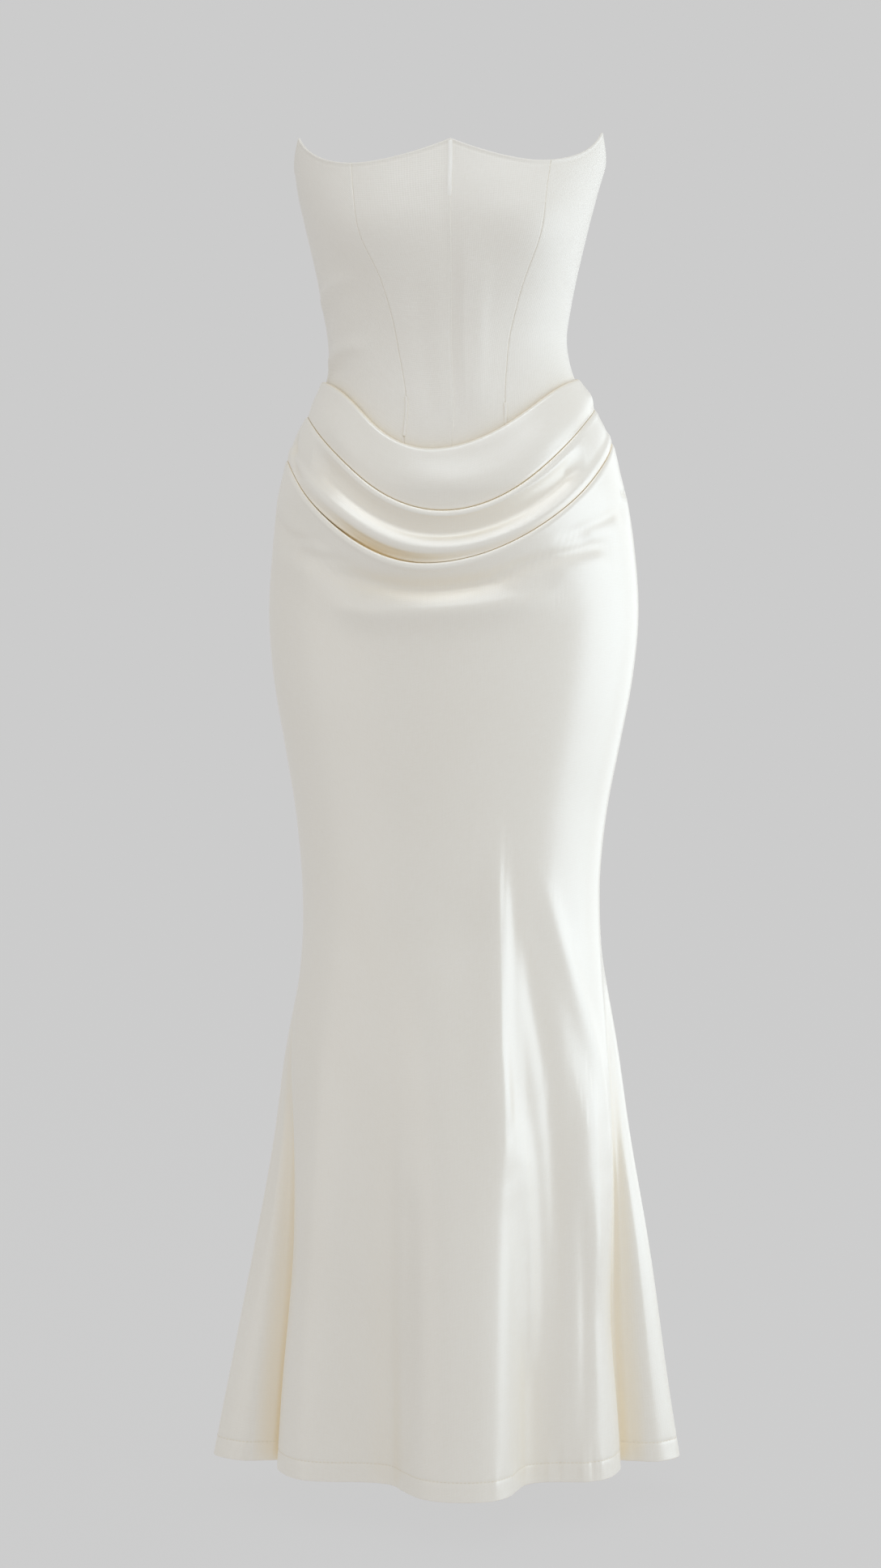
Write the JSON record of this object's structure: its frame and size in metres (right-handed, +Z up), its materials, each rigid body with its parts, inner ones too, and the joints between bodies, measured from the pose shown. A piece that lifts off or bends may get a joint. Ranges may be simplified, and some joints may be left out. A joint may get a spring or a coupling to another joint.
{
  "type": "strapless maxi dress",
  "caption": "Strapless floor-length dress with a boned, panelled bodice, a scooped and pointed neckline, draped folds over the hips and a fitted skirt that flares from the knee.",
  "frame": {"origin": "middle of the waist, where the boned bodice grips its wearer", "axes": "+Z up along the wearer, -Y out of the dress's front, +X to the right of someone who looks at its front"},
  "size_m": [0.471, 0.3463, 1.3165],
  "materials": {
    "bodice_cloth": "matte ivory crepe",
    "skirt_satin": "heavy ivory satin",
    "zip_tape": "woven ivory tape",
    "zip_enamel": "ivory enamel"
  },
  "bodies": {
    "root": {"bodice_front_left": "bodice_cloth", "bodice_front_right": "bodice_cloth", "bodice_side_front_left": "bodice_cloth", "bodice_side_front_right": "bodice_cloth", "bodice_side_back_left": "bodice_cloth", "bodice_side_back_right": "bodice_cloth", "bodice_back_left": "bodice_cloth", "bodice_back_right": "bodice_cloth", "bone_strip_centre": "bodice_cloth", "bone_strip_left": "bodice_cloth", "bone_strip_right": "bodice_cloth", "skirt_front": "skirt_satin", "skirt_back_left": "skirt_satin", "skirt_back_right": "skirt_satin", "zip_tape": "zip_tape", "zip_slider": "zip_enamel"},
    "zip_pull": {"zip_pull": "zip_enamel"}
  },
  "joints": [
    {"name": "pull_swing", "type": "hinge", "parent": "root", "child": "zip_pull", "pos_m": [-0.00237, 0.08949, 0.1505], "axis": [1, 0, 0], "range_deg": [0, 150]}
  ]
}
